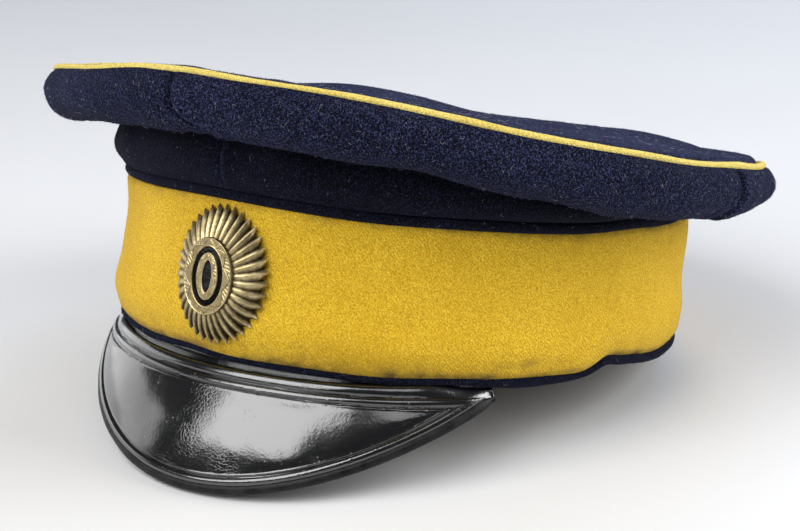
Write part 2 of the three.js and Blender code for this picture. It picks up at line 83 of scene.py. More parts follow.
def curve_through(x, xs, ys):
    """A smooth curve through a short table, at any x."""
    xs, ys = np.asarray(xs, float), np.asarray(ys, float)
    slope = np.gradient(ys, xs)
    k = np.clip(np.searchsorted(xs, x, side="right") - 1, 0, len(xs) - 2)
    h = xs[k + 1] - xs[k]
    t = np.clip((x - xs[k]) / h, 0, 1)
    a, b, m, n = ys[k], ys[k + 1], slope[k] * h, slope[k + 1] * h
    return a + m * t + (3 * (b - a) - 2 * m - n) * t**2 + (2 * (a - b) + m + n) * t**3


def round_the_cap(values, deg):
    """A table of values in equal steps round the cap, smooth all the way round."""
    values = np.asarray(values)
    n = len(values)
    along = (np.asarray(deg) / 360.0 * n) % n
    k = np.floor(along).astype(int)
    t = along - k
    a, b, c, d = (values[(k + s) % n] for s in (-1, 0, 1, 2))
    return b + t / 2 * (c - a + t * (2 * a - 5 * b + 4 * c - d + t * (3 * b - a - 3 * c + d)))


def place(deg, across, out, height):
    """Points at that angle and height: across runs from 0 on the band to 1 at the piping."""
    a = np.radians(deg)
    wide = lerp(BAND_W, CROWN_W, across) + out
    long = lerp(BAND_L, CROWN_L, across) + out
    parts = np.broadcast_arrays(wide * np.sin(a), across * CROWN_SHIFT - long * np.cos(a), height)
    return np.stack(parts, -1)


def apart(deg, at):
    """Degrees from at, between -180 and 180."""
    return (np.asarray(deg) - at + 540) % 360 - 180


def near(deg, at, spread):
    """A bump one high at that angle, about that many degrees wide on either side."""
    return bump(apart(deg, at), 0, spread)


def bumps(deg, table):
    """The sum of bumps round the cap, each given as (height, angle, spread)."""
    return sum(height * near(deg, at, spread) for height, at, spread in table)


def all_round(stations):
    return np.arange(stations) * 360 / stations


BAND_LIFTS = [(0.06, 82, 9), (0.02, 104, 14)]  # their heights are shares of the band's


def band_foot(deg):
    return BAND_H * bumps(deg, BAND_LIFTS)


def band_top(deg):
    return BAND_H + BAND_SADDLE * np.cos(2 * np.radians(deg))


# How far the band stands out of its plain oval, in front and behind, as shares of its swell and
# its tuck at these shares of its height
BAND_UP = [0.0, 0.18, 0.42, 0.7, 1.0]
BAND_FRONT = [0.35, 1.0, 0.5, 0.06, 0.0]
BAND_BACK = [1.0, 0.35, 0.9, 0.5, 0.0]


def band_out(deg, up):
    front = (1 + np.cos(np.radians(deg))) / 2
    return lerp(-BAND_TUCK * curve_through(up, BAND_UP, BAND_BACK),
                BAND_SWELL * curve_through(up, BAND_UP, BAND_FRONT), front)


# Where the soft cloth has settled a little off the plain lines: (mm, angle, spread). The band's
# lower edge is uneven in front, and rucked at the left where the peak's seam ends.

FOOT_SET = [(0.85, -8, 7), (-0.7, 31, 10), (-0.5, 54, 8), (1.6, 77.5, 3.2), (-0.35, 70, 3.5)]
TOP_SET = [(0.4, -6, 12), (-0.6, 28, 13), (0.75, 82, 9)]
PIPING_SET = [(0.4, -9, 6), (-0.5, 10, 8), (-0.5, 44, 11), (-0.55, 75, 9), (0.6, 119, 7),
              (-1.5, 137, 12), (-0.6, 201, 8), (-1.5, 305, 9)]


def cloth_foot(deg):
    """The lower edge of the band's cloth."""
    return band_foot(deg) + bumps(deg, FOOT_SET)


def cloth_top(deg):
    """The upper edge of the band's cloth."""
    return band_top(deg) + bumps(deg, TOP_SET)


def crown_edge(deg):
    """The height of the piping."""
    return BAND_H + FRONT_H * round_the_cap(CROWN_EDGE, deg) + bumps(deg, PIPING_SET)


def crown_foot(deg):
    return cloth_top(deg) + GAP + WELT_H + GAP


def unit(v):
    return v / np.linalg.norm(v, axis=-1, keepdims=True)


def ripple(points, size, seed, waves=18):
    """Soft unevenness of about that size, in mm, between roughly -1 and 1."""
    rng = np.random.default_rng(seed)
    total = np.zeros(points.shape[:-1])
    for _ in range(waves):
        way = rng.normal(size=3)
        way *= 2 * math.pi / (size * rng.uniform(0.7, 1.6) * np.linalg.norm(way))
        total += np.sin(points @ way + rng.uniform(0, 2 * math.pi))
    return total / math.sqrt(waves)


def grid_normals(p, closed):
    """Normals of a grid whose first index runs round the cap and whose second runs up or across."""
    if closed:
        du = np.roll(p, -1, 0) - np.roll(p, 1, 0)
    else:
        du = np.gradient(p, axis=0)
    dv = np.gradient(p, axis=1)
    n = np.cross(du, dv)
    return n / np.maximum(np.linalg.norm(n, axis=-1, keepdims=True), 1e-9)


def to_row(points):
    """Upright millimetres to the row frame's metres."""
    x, y, z = np.moveaxis(np.asarray(points, float), -1, 0)
    c, s = math.cos(TIP), math.sin(TIP)
    return (np.stack([x, y * c + z * s, -y * s + z * c], -1) + LIFT) / 1000


# Meshes


def add(name, data):
    obj = bpy.data.objects.new(name, data)
    bpy.context.scene.collection.objects.link(obj)
    return obj


def piece(name, points, faces, material, slot, *nodes, sharp=50, values=None):
    """A visible piece of the cap from upright points, with a float attribute for each of values,
    that takes the place of these nodes, if any."""
    mesh = bpy.data.meshes.new(name)
    faces = [tuple(int(i) for i in f) for f in faces]
    mesh.from_pydata(to_row(points).reshape(-1, 3).tolist(), [], faces)
    mesh.validate()
    mesh.shade_smooth()
    mesh.set_sharp_from_angle(angle=math.radians(sharp))
    for key, data in (values or {}).items():
        layer = mesh.attributes.new(key, "FLOAT", "POINT")
        layer.data.foreach_set("value", np.asarray(data, np.float32).ravel())
    mesh.materials.append(material)
    obj = add(name, mesh)
    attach(obj, "root")
    if nodes:
        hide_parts(*nodes)


def loop_faces(stations, sides, closed):
    """Faces of a body whose closed section of so many sides is carried along the stations."""
    faces = []
    for i in range(stations if closed else stations - 1):
        a, b = i * sides, ((i + 1) % stations) * sides
        for j in range(sides):
            k = (j + 1) % sides
            faces.append((a + j, b + j, b + k, a + k))
    if not closed:
        half = sides // 2
        end = (stations - 1) * sides
        for j in range(half - 1):
            faces.append((j, j + 1, sides - 2 - j, sides - 1 - j))
            faces.append((end + j, end + sides - 1 - j, end + sides - 2 - j, end + j + 1))
    return faces


EDGE_BULGE = 0.7  # how far a wall's rounded edge stands out, as a share of half its thickness


def shell(name, outer, wall, closed, material, slot, node, values, rounding=3, flip=False,
          inner=None):
    """A cloth wall: the outer grid, an inner face at that depth, and rounded edges between them."""
    normal = grid_normals(outer, closed)
    if flip:
        normal = -normal
    if inner is None:
        inner = outer - normal * wall
    mid = (outer + inner) / 2
    half = np.linalg.norm(outer - inner, axis=-1, keepdims=True) / 2
    turn = np.linspace(0, math.pi, rounding + 2)[1:-1]
    edges = []
    for j, k in ((-1, -2), (0, 1)):
        away = unit(mid[:, j] - mid[:, k])
        n = (outer[:, j] - inner[:, j]) / (2 * half[:, j])
        arc = [mid[:, j] + half[:, j] * (n * math.cos(t) + away * math.sin(t) * EDGE_BULGE)
               for t in turn]
        edges.append(np.stack(arc, 1))
    loops = np.concatenate([outer, edges[0], inner[:, ::-1], edges[1][:, ::-1]], 1)
    stations, sides = loops.shape[:2]
    faces = loop_faces(stations, sides, closed)
    if flip:
        faces = [f[::-1] for f in faces]
    fields = {}
    for key, grid in values.items():
        upper, lower = (np.repeat(grid[:, [j]], rounding, 1) for j in (-1, 0))
        fields[key] = np.concatenate([grid, upper, grid[:, ::-1], lower], 1)
    piece(name, loops, faces, material, slot, node, values=fields)


# Loose fibres on the cloth: the outside of each cloth is kept here, with its normals, for them to
# stand on

CLOTHS = {"navy": [], "yellow": []}


def keep_cloth(kind, grid, closed, thick=1.0):
    """thick says how thickly the fibres stand there: a number, or one for each point."""
    CLOTHS[kind].append((grid, grid_normals(grid, closed), np.broadcast_to(thick, grid.shape[:2])))


def scatter(kind, count, rng):
    """So many points spread evenly over a cloth's outside, with their normals."""
    corners, normals, areas = [], [], []
    for grid, normal, thick in CLOTHS[kind]:
        a, b, c = grid[:-1, :-1], grid[1:, :-1], grid[:-1, 1:]
        corners.append(np.stack([a, b - a, c - a], 2).reshape(-1, 3, 3))
        normals.append(normal[:-1, :-1].reshape(-1, 3))
        area = np.linalg.norm(np.cross(b - a, c - a), axis=-1)
        areas.append((area * thick[:-1, :-1]).ravel())
    corners, normals, areas = (np.concatenate(part) for part in (corners, normals, areas))
    pick = rng.choice(len(areas), size=count, p=areas / areas.sum())
    u, v = rng.random((2, count, 1))
    cell = corners[pick]
    return cell[:, 0] + cell[:, 1] * u + cell[:, 2] * v, normals[pick]


def strands(kind, count, seed, length):
    """Where so many strands stand: their points, normals, two random directions along the cloth
    that are square to each other, lengths, and the generator for more draws."""
    rng = np.random.default_rng(seed)
    at, normal = scatter(kind, count, rng)
    way = rng.normal(size=normal.shape)
    way = unit(way - normal * (way * normal).sum(-1, keepdims=True))
    return at, normal, way, np.cross(normal, way), rng.uniform(*length, (count, 1)), rng


def many(faces, points_each, count):
    """The same small faces again for each of so many copies."""
    starts = points_each * np.arange(count)[:, None, None]
    return (np.array(faces)[None] + starts).reshape(-1, len(faces[0])).tolist()


FIBRE_KNOTS = 5
FIBRE_GAP = 0.08  # between the cloth and a fibre's ends
HAIR_ROOT, HAIR_RISE = 0.06, 0.75  # depth of a hair's root, and its tip's height as a share


def fibres(name, kind, slot, material, count, seed, length, radius, lift, curl):
    """Lint: thin curled fibres lying on the cloth, as closed three-sided tubes in one mesh."""
    at, normal, way, side, long, rng = strands(kind, count, seed, length)
    bend = rng.normal(0, curl, (count, 1)) * long
    rise = rng.uniform(0.2, 1.0, (count, 1)) * lift
    rings = []
    for s in np.linspace(0, 1, FIBRE_KNOTS):
        arc = math.sin(math.pi * s)
        sway = bend * (arc + 0.35 * math.sin(2 * math.pi * s))
        centre = at + way * long * (s - 0.5) + side * sway + normal * (FIBRE_GAP + rise * arc)
        thick = radius * (0.35 + 0.65 * arc)
        rings += [centre + side * thick * math.cos(t) + normal * thick * math.sin(t)
                  for t in np.radians([90, 210, 330])]
    tube = [(3 * k + j, 3 * k + (j + 1) % 3, 3 * k + 3 + (j + 1) % 3, 3 * k + 3 + j)
            for k in range(FIBRE_KNOTS - 1) for j in range(3)]
    each = 3 * FIBRE_KNOTS
    faces = many(tube, each, count) + many([(2, 1, 0), (each - 3, each - 2, each - 1)], each, count)
    piece(name, np.stack(rings, 1), faces, material, slot, sharp=180)


def nap(name, kind, slot, material, count, seed, length, radius, lean):
    """The nap of the cloth: short leaning hairs, as closed cones in one mesh."""
    at, normal, way, side, long, rng = strands(kind, count, seed, length)
    tip = at + normal * long * HAIR_RISE + way * long * rng.uniform(0, lean, (count, 1))
    base = [at - normal * HAIR_ROOT + (way * math.cos(t) + side * math.sin(t)) * radius
            for t in np.radians([0, 120, 240])]
    faces = many([(0, 1, 3), (1, 2, 3), (2, 0, 3), (2, 1, 0)], 4, count)
    piece(name, np.stack(base + [tip], 1), faces, material, slot, sharp=180)


# Materials


class Nodes:
    """Short ways to wire one material's nodes."""

    def __init__(self, name):
        self.material = bpy.data.materials.new(name)
        self.material.use_nodes = True
        self.tree = self.material.node_tree
        self.shader = self.tree.nodes["Principled BSDF"]
        self.where = self.tree.nodes.new("ShaderNodeTexCoord").outputs["Object"]

    def node(self, kind, **settings):
        made = self.tree.nodes.new(kind)
        for key, value in settings.items():
            setattr(made, key, value)
        return made

    def link(self, a, b):
        self.tree.links.new(a, b)

    def feed(self, socket, value):
        if hasattr(value, "is_linked"):
            self.link(value, socket)
        else:
            socket.default_value = value

    def texture(self, kind, vector, settings, **values):
        made = self.node(kind, **settings)
        for key, value in values.items():
            made.inputs[key.replace("_", " ")].default_value = value
        self.link(vector, made.inputs["Vector"])
        return made.outputs

    def noise(self, scale, detail=3.0, rough=0.55, stretch=None):
        where = self.where
        if stretch is not None:
            where = self.texture("ShaderNodeMapping", where, {}, Scale=stretch)["Vector"]
        return self.texture("ShaderNodeTexNoise", where, {}, Scale=scale, Detail=detail,
                            Roughness=rough)["Fac"]

    def cells(self, scale, feature="DISTANCE_TO_EDGE"):
        return self.texture("ShaderNodeTexVoronoi", self.where, {"feature": feature},
                            Scale=scale)["Distance"]

    def twill(self, scale):
        return self.texture("ShaderNodeTexWave", self.where, {"bands_direction": "DIAGONAL"},
                            Scale=scale, Distortion=5.0, Detail=2.0, Detail_Scale=1.5)["Fac"]

    def ramp(self, fac, *stops):
        """Colours, or greys given as one number, at their places on fac."""
        made = self.node("ShaderNodeValToRGB")
        ramp = made.color_ramp
        while len(ramp.elements) < len(stops):
            ramp.elements.new(0.5)
        for element, (at, colour) in zip(ramp.elements, stops):
            element.position = at
            grey = not hasattr(colour, "__len__")
            element.color = (colour, colour, colour, 1) if grey else (*colour, 1)
        self.link(fac, made.inputs["Fac"])
        return made.outputs["Color"]

    def math(self, what, a, b=0.0, c=0.0):
        made = self.node("ShaderNodeMath", operation=what)
        for socket, value in zip(made.inputs, (a, b, c)):
            self.feed(socket, value)
        return made.outputs[0]

    def mix(self, fac, a, b, blend="MIX"):
        made = self.node("ShaderNodeMix", data_type="RGBA", blend_type=blend)
        self.feed(made.inputs["Factor"], fac)
        self.feed(made.inputs[6], a if hasattr(a, "is_linked") else (*a, 1))
        self.feed(made.inputs[7], b if hasattr(b, "is_linked") else (*b, 1))
        return made.outputs[2]

    def value(self, name):
        """A float kept on the mesh under that name."""
        return self.node("ShaderNodeAttribute", attribute_name=name).outputs["Fac"]

    def bump(self, height, depth, strength=1.0, under=None):
        made = self.node("ShaderNodeBump")
        made.inputs["Distance"].default_value = depth
        made.inputs["Strength"].default_value = strength
        self.feed(made.inputs["Height"], height)
        if under is not None:
            self.link(under, made.inputs["Normal"])
        return made.outputs["Normal"]

    def sheen(self, weight, tint):
        self.shader.inputs["Sheen Weight"].default_value = weight
        self.shader.inputs["Sheen Roughness"].default_value = 0.4
        self.shader.inputs["Sheen Tint"].default_value = (*tint, 1)

    def finish(self, colour, rough, **inputs):
        self.feed(self.shader.inputs["Base Color"], colour)
        self.feed(self.shader.inputs["Roughness"], rough)
        for key, value in inputs.items():
            self.feed(self.shader.inputs[key.replace("_", " ")], value)
        return self.material


def navy_wool():
    n = Nodes("navy_wool")
    broad = n.noise(26, 3)
    tuft = n.noise(1900, 3, 0.72)
    fibre = n.noise(3000, 2, 0.6, (1, 1, 0.35))
    colour = n.ramp(tuft, (0.41, (0.0006, 0.0008, 0.0030)), (0.52, (0.0030, 0.0038, 0.0135)),
                    (0.61, (0.042, 0.050, 0.132)))
    colour = n.mix(n.ramp(fibre, (0.62, 0.0), (0.73, 0.75)), colour, (0.22, 0.23, 0.31))
    colour = n.mix(1.0, colour, n.ramp(broad, (0.3, 0.75), (0.7, 1.15)), "MULTIPLY")
    # painted light and shade: the flat top, which carries no painted_shading value, is painted
    # lighter;
    # the stand below the roll, the seams' grooves on the roll and the welts are painted darker
    depth = n.ramp(n.value("painted_shading"), (0.0, 1.7), (0.25, 1.0), (1.0, 0.12))
    colour = n.mix(1.0, colour, depth, "MULTIPLY")
    normal = n.bump(tuft, 0.0011, 0.9)
    normal = n.bump(fibre, 0.0003, 0.5, normal)
    n.sheen(0.04, (0.42, 0.5, 1.0))
    return n.finish(colour, 0.95, Normal=normal, Specular_IOR_Level=0.08)


def yellow_wool(name, light, dark, low):
    n = Nodes(name)
    broad = n.noise(34, 4)
    tuft = n.noise(2100, 2.5, 0.65)
    twill = n.twill(430)
    colour = n.ramp(broad, (0.3, dark), (0.68, light))
    colour = n.mix(n.ramp(tuft, (0.37, 0.78), (0.54, 0.0)), colour, low)
    colour = n.mix(n.ramp(tuft, (0.56, 0.0), (0.70, 0.5)), colour, (0.95, 0.74, 0.14))
    colour = n.mix(n.math("MULTIPLY", twill, 0.14), colour, low)
    blotch = n.ramp(n.noise(150, 5, 0.6), (0.32, 0.15), (0.66, 1.0))
    # the dirt_and_painted_shade value darkens the cloth: grime low on the band and two smears, and
    # painted shade along the band's upper edge
    colour = n.mix(n.math("MULTIPLY", n.value("dirt_and_painted_shade"), blotch), colour, (0.115, 0.07, 0.018))
    patchy = n.ramp(n.noise(80, 2), (0.56, 0.0), (0.64, 1.0))
    speck = n.ramp(n.cells(260, "F1"), (0.05, 0.6), (0.13, 0.0))
    colour = n.mix(n.math("MULTIPLY", speck, patchy), colour, (0.16, 0.08, 0.02))
    height = n.math("ADD", tuft, n.math("MULTIPLY", twill, 0.35))
    n.sheen(0.12, (1.0, 0.92, 0.6))
    return n.finish(colour, 0.93, Normal=n.bump(height, 0.0007, 0.75), Specular_IOR_Level=0.12)


def lint(name, light, dark):
    n = Nodes(name)
    colour = n.ramp(n.noise(120, 2), (0.35, dark), (0.65, light))
    return n.finish(colour, 0.8, Specular_IOR_Level=0.2)


def lacquer():
    n = Nodes("lacquer")
    wavy = n.noise(70, 2, 0.5)
    grain = n.noise(1100, 3, 0.6)
    blister = n.ramp(n.noise(420, 2, 0.5), (0.60, 0.0), (0.72, 1.0))
    crackle = n.ramp(n.cells(950), (0.0, 0.0), (0.12, 1.0))
    cracked = n.ramp(n.noise(60, 3), (0.50, 0.0), (0.66, 1.0))
    wiped = n.ramp(n.noise(330, 3, 0.7, (0.12, 0.5, 1)), (0.62, 0.0), (0.74, 1.0))
    colour = n.mix(wiped, (0.0032, 0.0032, 0.0038), (0.011, 0.011, 0.012))
    rough = n.ramp(n.noise(40, 4, 0.6), (0.3, 0.13), (0.7, 0.22))
    rough = n.mix(n.math("MULTIPLY", wiped, 0.5), rough, (0.36, 0.36, 0.36))
    dusty = n.ramp(n.noise(120, 3), (0.54, 0.0), (0.68, 1.0))
    dust = n.math("MULTIPLY", n.ramp(n.cells(700, "F1"), (0.06, 0.8), (0.14, 0.0)), dusty)
    colour = n.mix(dust, colour, (0.30, 0.30, 0.31))
    normal = n.bump(dust, 0.0002, 0.6)
    normal = n.bump(wavy, 0.0012, 0.12, normal)
    normal = n.bump(grain, 0.00007, 0.6, normal)
    normal = n.bump(n.mix(cracked, (1, 1, 1), crackle), 0.00005, 0.35, normal)
    normal = n.bump(n.math("MULTIPLY", blister, n.value("lip")), 0.00025, 0.6, normal)
    n.shader.inputs["IOR"].default_value = 1.6
    n.shader.inputs["Coat IOR"].default_value = 1.65
    n.shader.inputs["Coat Roughness"].default_value = 0.10
    n.shader.inputs["Coat Weight"].default_value = 0.9
    return n.finish(colour, rough, Normal=normal, Coat_Normal=normal)


def worn_rim():
    n = Nodes("lacquer_rim")
    grain = n.noise(1500, 3, 0.65)
    worn = n.noise(200, 4, 0.6)
    colour = n.ramp(worn, (0.35, (0.004, 0.004, 0.0045)), (0.7, (0.016, 0.016, 0.017)))
    rough = n.ramp(worn, (0.3, 0.24), (0.7, 0.46))
    normal = n.bump(grain, 0.00026, 0.7)
    normal = n.bump(worn, 0.0006, 0.4, normal)
    return n.finish(colour, rough, Normal=normal, Specular_IOR_Level=0.16)


def brass():
    n = Nodes("aged_brass")
    tarnish = n.noise(330, 5, 0.65)
    fine = n.noise(1900, 3, 0.6)
    colour = n.ramp(tarnish, (0.3, (0.27, 0.205, 0.095)), (0.7, (0.62, 0.51, 0.28)))
    uneven = n.math("MULTIPLY_ADD", n.noise(700, 3, 0.6), 0.7, -0.35)
    # the hollow value darkens the brass: patina in the rays' valleys and the ring's cut lines and
    # walls, and painted shade on the lower rays and on the backs of the rays
    hollow = n.math("ADD", n.value("hollow"), uneven)
    dark = n.ramp(hollow, (0.12, 0.0), (0.42, 0.55), (0.85, 1.0))
    colour = n.mix(dark, colour, (0.038, 0.026, 0.012))
    rough = n.ramp(tarnish, (0.3, 0.46), (0.7, 0.28))
    rough = n.mix(hollow, rough, (0.6, 0.6, 0.6))
    return n.finish(colour, rough, Metallic=1.0, Normal=n.bump(fine, 0.0001, 0.45))


def enamel():
    n = Nodes("black_enamel")
    mottle = n.noise(620, 4)
    grey = n.ramp(mottle, (0.35, (0.006, 0.006, 0.007)), (0.7, (0.024, 0.025, 0.027)))
    colour = n.mix(n.value("hollow"), (0.0015, 0.0015, 0.0017), grey)
    return n.finish(colour, 0.14, Normal=n.bump(mottle, 0.0003, 0.4))


NAVY = navy_wool()
YELLOW = yellow_wool("yellow_wool", (0.76, 0.495, 0.029), (0.64, 0.395, 0.018), (0.40, 0.21, 0.008))
# painted light: the piping's cord is a lighter copy of the band's yellow wool, for the light it
# catches
PIPING = yellow_wool("painted_light_yellow_wool", (0.85, 0.73, 0.23), (0.78, 0.64, 0.17), (0.50, 0.33, 0.05))
LACQUER = lacquer()
RIM = worn_rim()
BRASS = brass()
ENAMEL = enamel()
PALE_LINT = lint("pale_lint", (0.42, 0.41, 0.40), (0.10, 0.10, 0.13))
NAVY_NAP = lint("navy_nap", (0.040, 0.048, 0.13), (0.006, 0.008, 0.026))
YELLOW_NAP = lint("yellow_nap", (0.86, 0.60, 0.08), (0.62, 0.36, 0.02))


# The crown

# The outside of a quarter from its foot to the piping: share of the way out from band to piping,
# on the roll also the share of its bulge, and then the share of the stand's or the roll's height
STAND_ROWS = [(0.05, 0.0), (0.17, 0.25), (0.2, 0.6), (0.14, 0.9), (0.24, 1.0)]
ROLL_ROWS = [(0.52, 0.0, 0.03), (0.84, 0.0, 0.0), (1.0, 0.18, 0.14), (1.0, 0.8, 0.38),
             (1.0, 0.95, 0.64), (1.0, 0.5, 0.88), (1.0, 0.1, 1.0)]
OVERHANG = (CROWN_W + CROWN_L - BAND_W - BAND_L) / 2
UNDER_PIPING, ROLL_LIP = 0.35, 0.7  # how far the cloth ends below the cord, and the roll below that
SEAM_PINCH, PINCH_SPREAD = 1.1, 5  # mm that a seam flattens the roll, and over how many degrees

# Each seam's lean: degrees it has slipped at the stand, low on the roll and at the piping, and how
# much further it hooks round below the roll; then the depth of its groove, and how far the cloth on
# its far side stands proud, in mm
SEAMS = {
    0: (-0.6, -1.4, -2.3, 5.0, 1.7, 0.6),
    90: (0.0, 0.8, 0.3, -2.5, 1.0, 0.6),
    180: (0.5, 0.8, 1.0, 1.5, 1.0, 0.0),
    270: (0.3, -0.5, -0.9, -1.5, 1.0, 0.0),
}


def spline(knots, per=10):
    """A centripetal curve through knots[row, ..., 3]."""
    first, last = 2 * knots[0] - knots[1], 2 * knots[-1] - knots[-2]
    k = np.concatenate([first[None], knots, last[None]])
    out = []
    for i in range(1, len(k) - 2):
        p = k[i - 1:i + 3]
        run = [np.linalg.norm(p[j + 1] - p[j], axis=-1, keepdims=True) for j in range(3)]
        a, b, c = (np.sqrt(np.maximum(r, 1e-6)) for r in run)
        m = (p[2] - p[1]) + b * ((p[1] - p[0]) / a - (p[2] - p[0]) / (a + b))
        n = (p[2] - p[1]) + b * ((p[3] - p[2]) / c - (p[3] - p[1]) / (b + c))
        for t in np.arange(per) / per:
            h = (2 * t**3 - 3 * t**2 + 1, t**3 - 2 * t**2 + t, -2 * t**3 + 3 * t**2, t**3 - t**2)
            out.append(h[0] * p[1] + h[1] * m + h[2] * p[2] + h[3] * n)
    out.append(k[-2])
    return np.stack(out)


def even(line, count):
    """line[points, stations, 3] sampled again in equal steps along its length."""
    step = np.linalg.norm(np.diff(line, axis=0), axis=-1)
    along = np.concatenate([np.zeros((1, line.shape[1])), np.cumsum(step, 0)])
    out = np.empty((line.shape[1], count, 3))
    for i in range(line.shape[1]):
        at = np.linspace(0, along[-1, i], count)
        for c in range(3):
            out[i, :, c] = np.interp(at, along[:, i], line[:, i, c])
    return out


def quarter_grid(deg, count):
    """The crown's smooth side at these angles, and at each point its share of roll, not stand, and
    how far up the roll it is."""
    foot = crown_foot(deg)
    top = crown_edge(deg) - UNDER_PIPING
    lip = top - ROLL_LIP - ROLL_H * round_the_cap(CROWN_ROLL, deg)
    stand = np.maximum(LEAST_STAND, lip + CREASE_LIFT - foot)
    from_seam = apart(deg * 4, 0) / 4
    swell = ROLL_BULGE - SEAM_PINCH * bump(from_seam, 0, PINCH_SPREAD)
    rows = [(across, 0, foot + stand * share) for across, share in STAND_ROWS]
    rows += [(across, bulge, lerp(lip, top, share)) for across, bulge, share in ROLL_ROWS]
    knots = [np.stack([np.full_like(deg, across * OVERHANG), bulge * swell, height], -1)
             for across, bulge, height in rows]
    line = even(spline(np.stack(knots)), count)
    across = line[..., 0] / OVERHANG
    roll = smooth(across, 0.3, 0.95)
    rise = np.clip((line[..., 2] - lip[:, None]) / (top - lip)[:, None], 0, 1)
    slip = np.zeros_like(roll)
    for seam, (low, mid, high, hook, _, _) in SEAMS.items():
        lean = lerp(low, lerp(mid, high, rise) + hook * bump(rise, 0, 0.24), roll)
        slip = slip + near(deg, seam, 13)[:, None] * lean
    return place(deg[:, None] + slip, across, line[..., 1], line[..., 2]), roll, rise


QUARTER_POINTS, QUARTER_STEPS = 88, 92
SEAM_TRIM = 0.03  # left open at each seam, in mm
SEAM_CROWDING = 0.6  # how much closer the steps lie by the seams; 0 is even


def crown_quarter(name, start, node):
    trim = math.degrees(SEAM_TRIM / CROWN_L)
    t = np.linspace(0, 1, QUARTER_STEPS + 1)
    t = t - SEAM_CROWDING * np.sin(2 * math.pi * t) / (2 * math.pi)
    deg = start + trim + (90 - 2 * trim) * np.clip(t, 0, 1)
    grid, roll, rise = quarter_grid(deg, QUARTER_POINTS)
    normal = grid_normals(grid, False)
    up = np.linspace(0, 1, QUARTER_POINTS)[None]
    stand = 1 - roll
    # soft waves on the roll, upright folds in the stand, and a lobe that sags at the left rear
    move = roll * (0.8 * ripple(grid, 62, 3) + 0.28 * ripple(grid, 24, 5)
                   + 0.1 * ripple(grid, 9, 6))
    folds = ripple(grid * np.array([1, 1, 0.15]), 19, 8)
    move = move + stand * smooth(up, 0.12, 0.3) * folds + stand * 0.45 * ripple(grid, 30, 9)
    lobe = 2.2 * bump(rise, 0.66, 0.4) - 2.7 * bump(rise, 0, 0.3)
    move = move + roll * lobe * near(deg, 122, 24)[:, None]
    move = smooth(1 - up, 0, 0.08) * smooth(up, 0, 0.06) * move
    # by a seam: its groove, beads beside it, the step between its two sides, and small gathers
    reach = np.linalg.norm(grid[..., :2], axis=-1)
    # painted shade: the stand is painted darker than the roll; by each seam the stand is painted
    # lighter, the groove on the roll painted darker, and the cloth on one side of it a little
    # lighter
    painted_shading = 0.25 + 0.6 * stand
    for seam, (_, _, _, _, depth, proud) in SEAMS.items():
        mm = np.radians(apart(deg, seam))[:, None] * reach
        off = np.abs(mm)
        painted_shading = painted_shading - 0.4 * stand * bump(off, 0.9, 0.8) \
            + roll * (0.6 * bump(mm, 0, 0.85) - 0.12 * bump(mm, 3.0, 2.0))
        groove = -depth * np.exp(-(off / 0.75) ** 1.2) + 0.3 * bump(off, 2.6, 1.5)
        groove = groove + np.where(mm > 0, proud, -0.35 * proud) * bump(off, 4, 5) * roll
        groove = groove * lerp(0.4, 1.0, roll) * (1 - 0.8 * smooth(rise, 0.8, 1))
        gather = 0.30 * np.sin(mm * 1.1 + 9 * rise) * bump(off, 6, 6) * roll * (1 - rise)
        move = move + (groove + gather) * smooth(up, 0, 0.03)
    grid = grid + normal * move[..., None]
    keep_cloth("navy", grid, False, 0.3 + 0.7 * roll)
    shell(name, grid, CROWN_WALL, False, NAVY, "navy_cloth", node, {"painted_shading": painted_shading})


CORD_STATIONS, CORD_SIDES = 720, 14
CORD_THICK = [(0.10, 96, 8), (-0.20, 335, 22), (-0.26, 14, 9)]  # (mm, angle, spread), as above
CORD_SUNK = [(0.5, 125, 7), (0.5, 247, 7)]
CORD_SOIL = 0.08


def crown_piping():
    deg = all_round(CORD_STATIONS)
    turn = 2 * math.pi * np.arange(CORD_SIDES) / CORD_SIDES
    line = place(deg, 1, 0, 0)
    thick = (1.06 + 0.04 * ripple(line, 9, 21) + bumps(deg, CORD_THICK))[:, None]
    wobble = 0.16 * ripple(line, 26, 22)
    height = crown_edge(deg) + wobble - bumps(deg, CORD_SUNK)
    points = place(deg[:, None], 1, thick * np.cos(turn) + wobble[:, None] * 0.5,
                   height[:, None] + thick * np.sin(turn))
    keep_cloth("yellow", points, True)
    piece("crown_piping_cord", points, loop_faces(CORD_STATIONS, CORD_SIDES, True), PIPING,
          "yellow_cloth", "crown_piping", values={"dirt_and_painted_shade": np.full(points.shape[:2], CORD_SOIL)})


# The loose top cloth puffs up inside the piping: its rise in mm every 15 degrees round the cap, and
# its shape from the middle out
TOP_PUFF = [1.0, 1.0, 1.1, 1.3, 1.6, 2.0, 2.2, 2.3, 2.2, 1.3, 2.2, 2.7,
            1.5, 1.2, 3.6, 4.5, 1.0, -1.4, 1.4, 1.0, 0.9, 1.0, 1.0, 1.0]
PUFF_PEAK = (2.7, 262, 5)  # one narrower puff: mm, angle and spread
PUFF_AT = [0.0, 0.5, 0.8, 0.9, 0.96, 0.985, 1.0]
PUFF_RISE = [0.0, 0.35, 0.8, 1.0, 0.93, 0.72, 0.0]
TOP_DOME = 1.2


def top_height(deg, share):
    """Height of the top cloth at that share of the way from its middle to its rim."""
    here, beyond = crown_edge(deg), crown_edge(deg + 180)
    mean = BAND_H + FRONT_H * np.mean(CROWN_EDGE)
    flat = mean + share * (here - beyond) / 2 + share**2 * ((here + beyond) / 2 - mean)
    puff = round_the_cap(TOP_PUFF, deg) + bumps(deg, [PUFF_PEAK])
    return flat + puff * curve_through(share, PUFF_AT, PUFF_RISE) + TOP_DOME * (1 - share**2)


TOP_STATIONS, TOP_RINGS = 340, 74


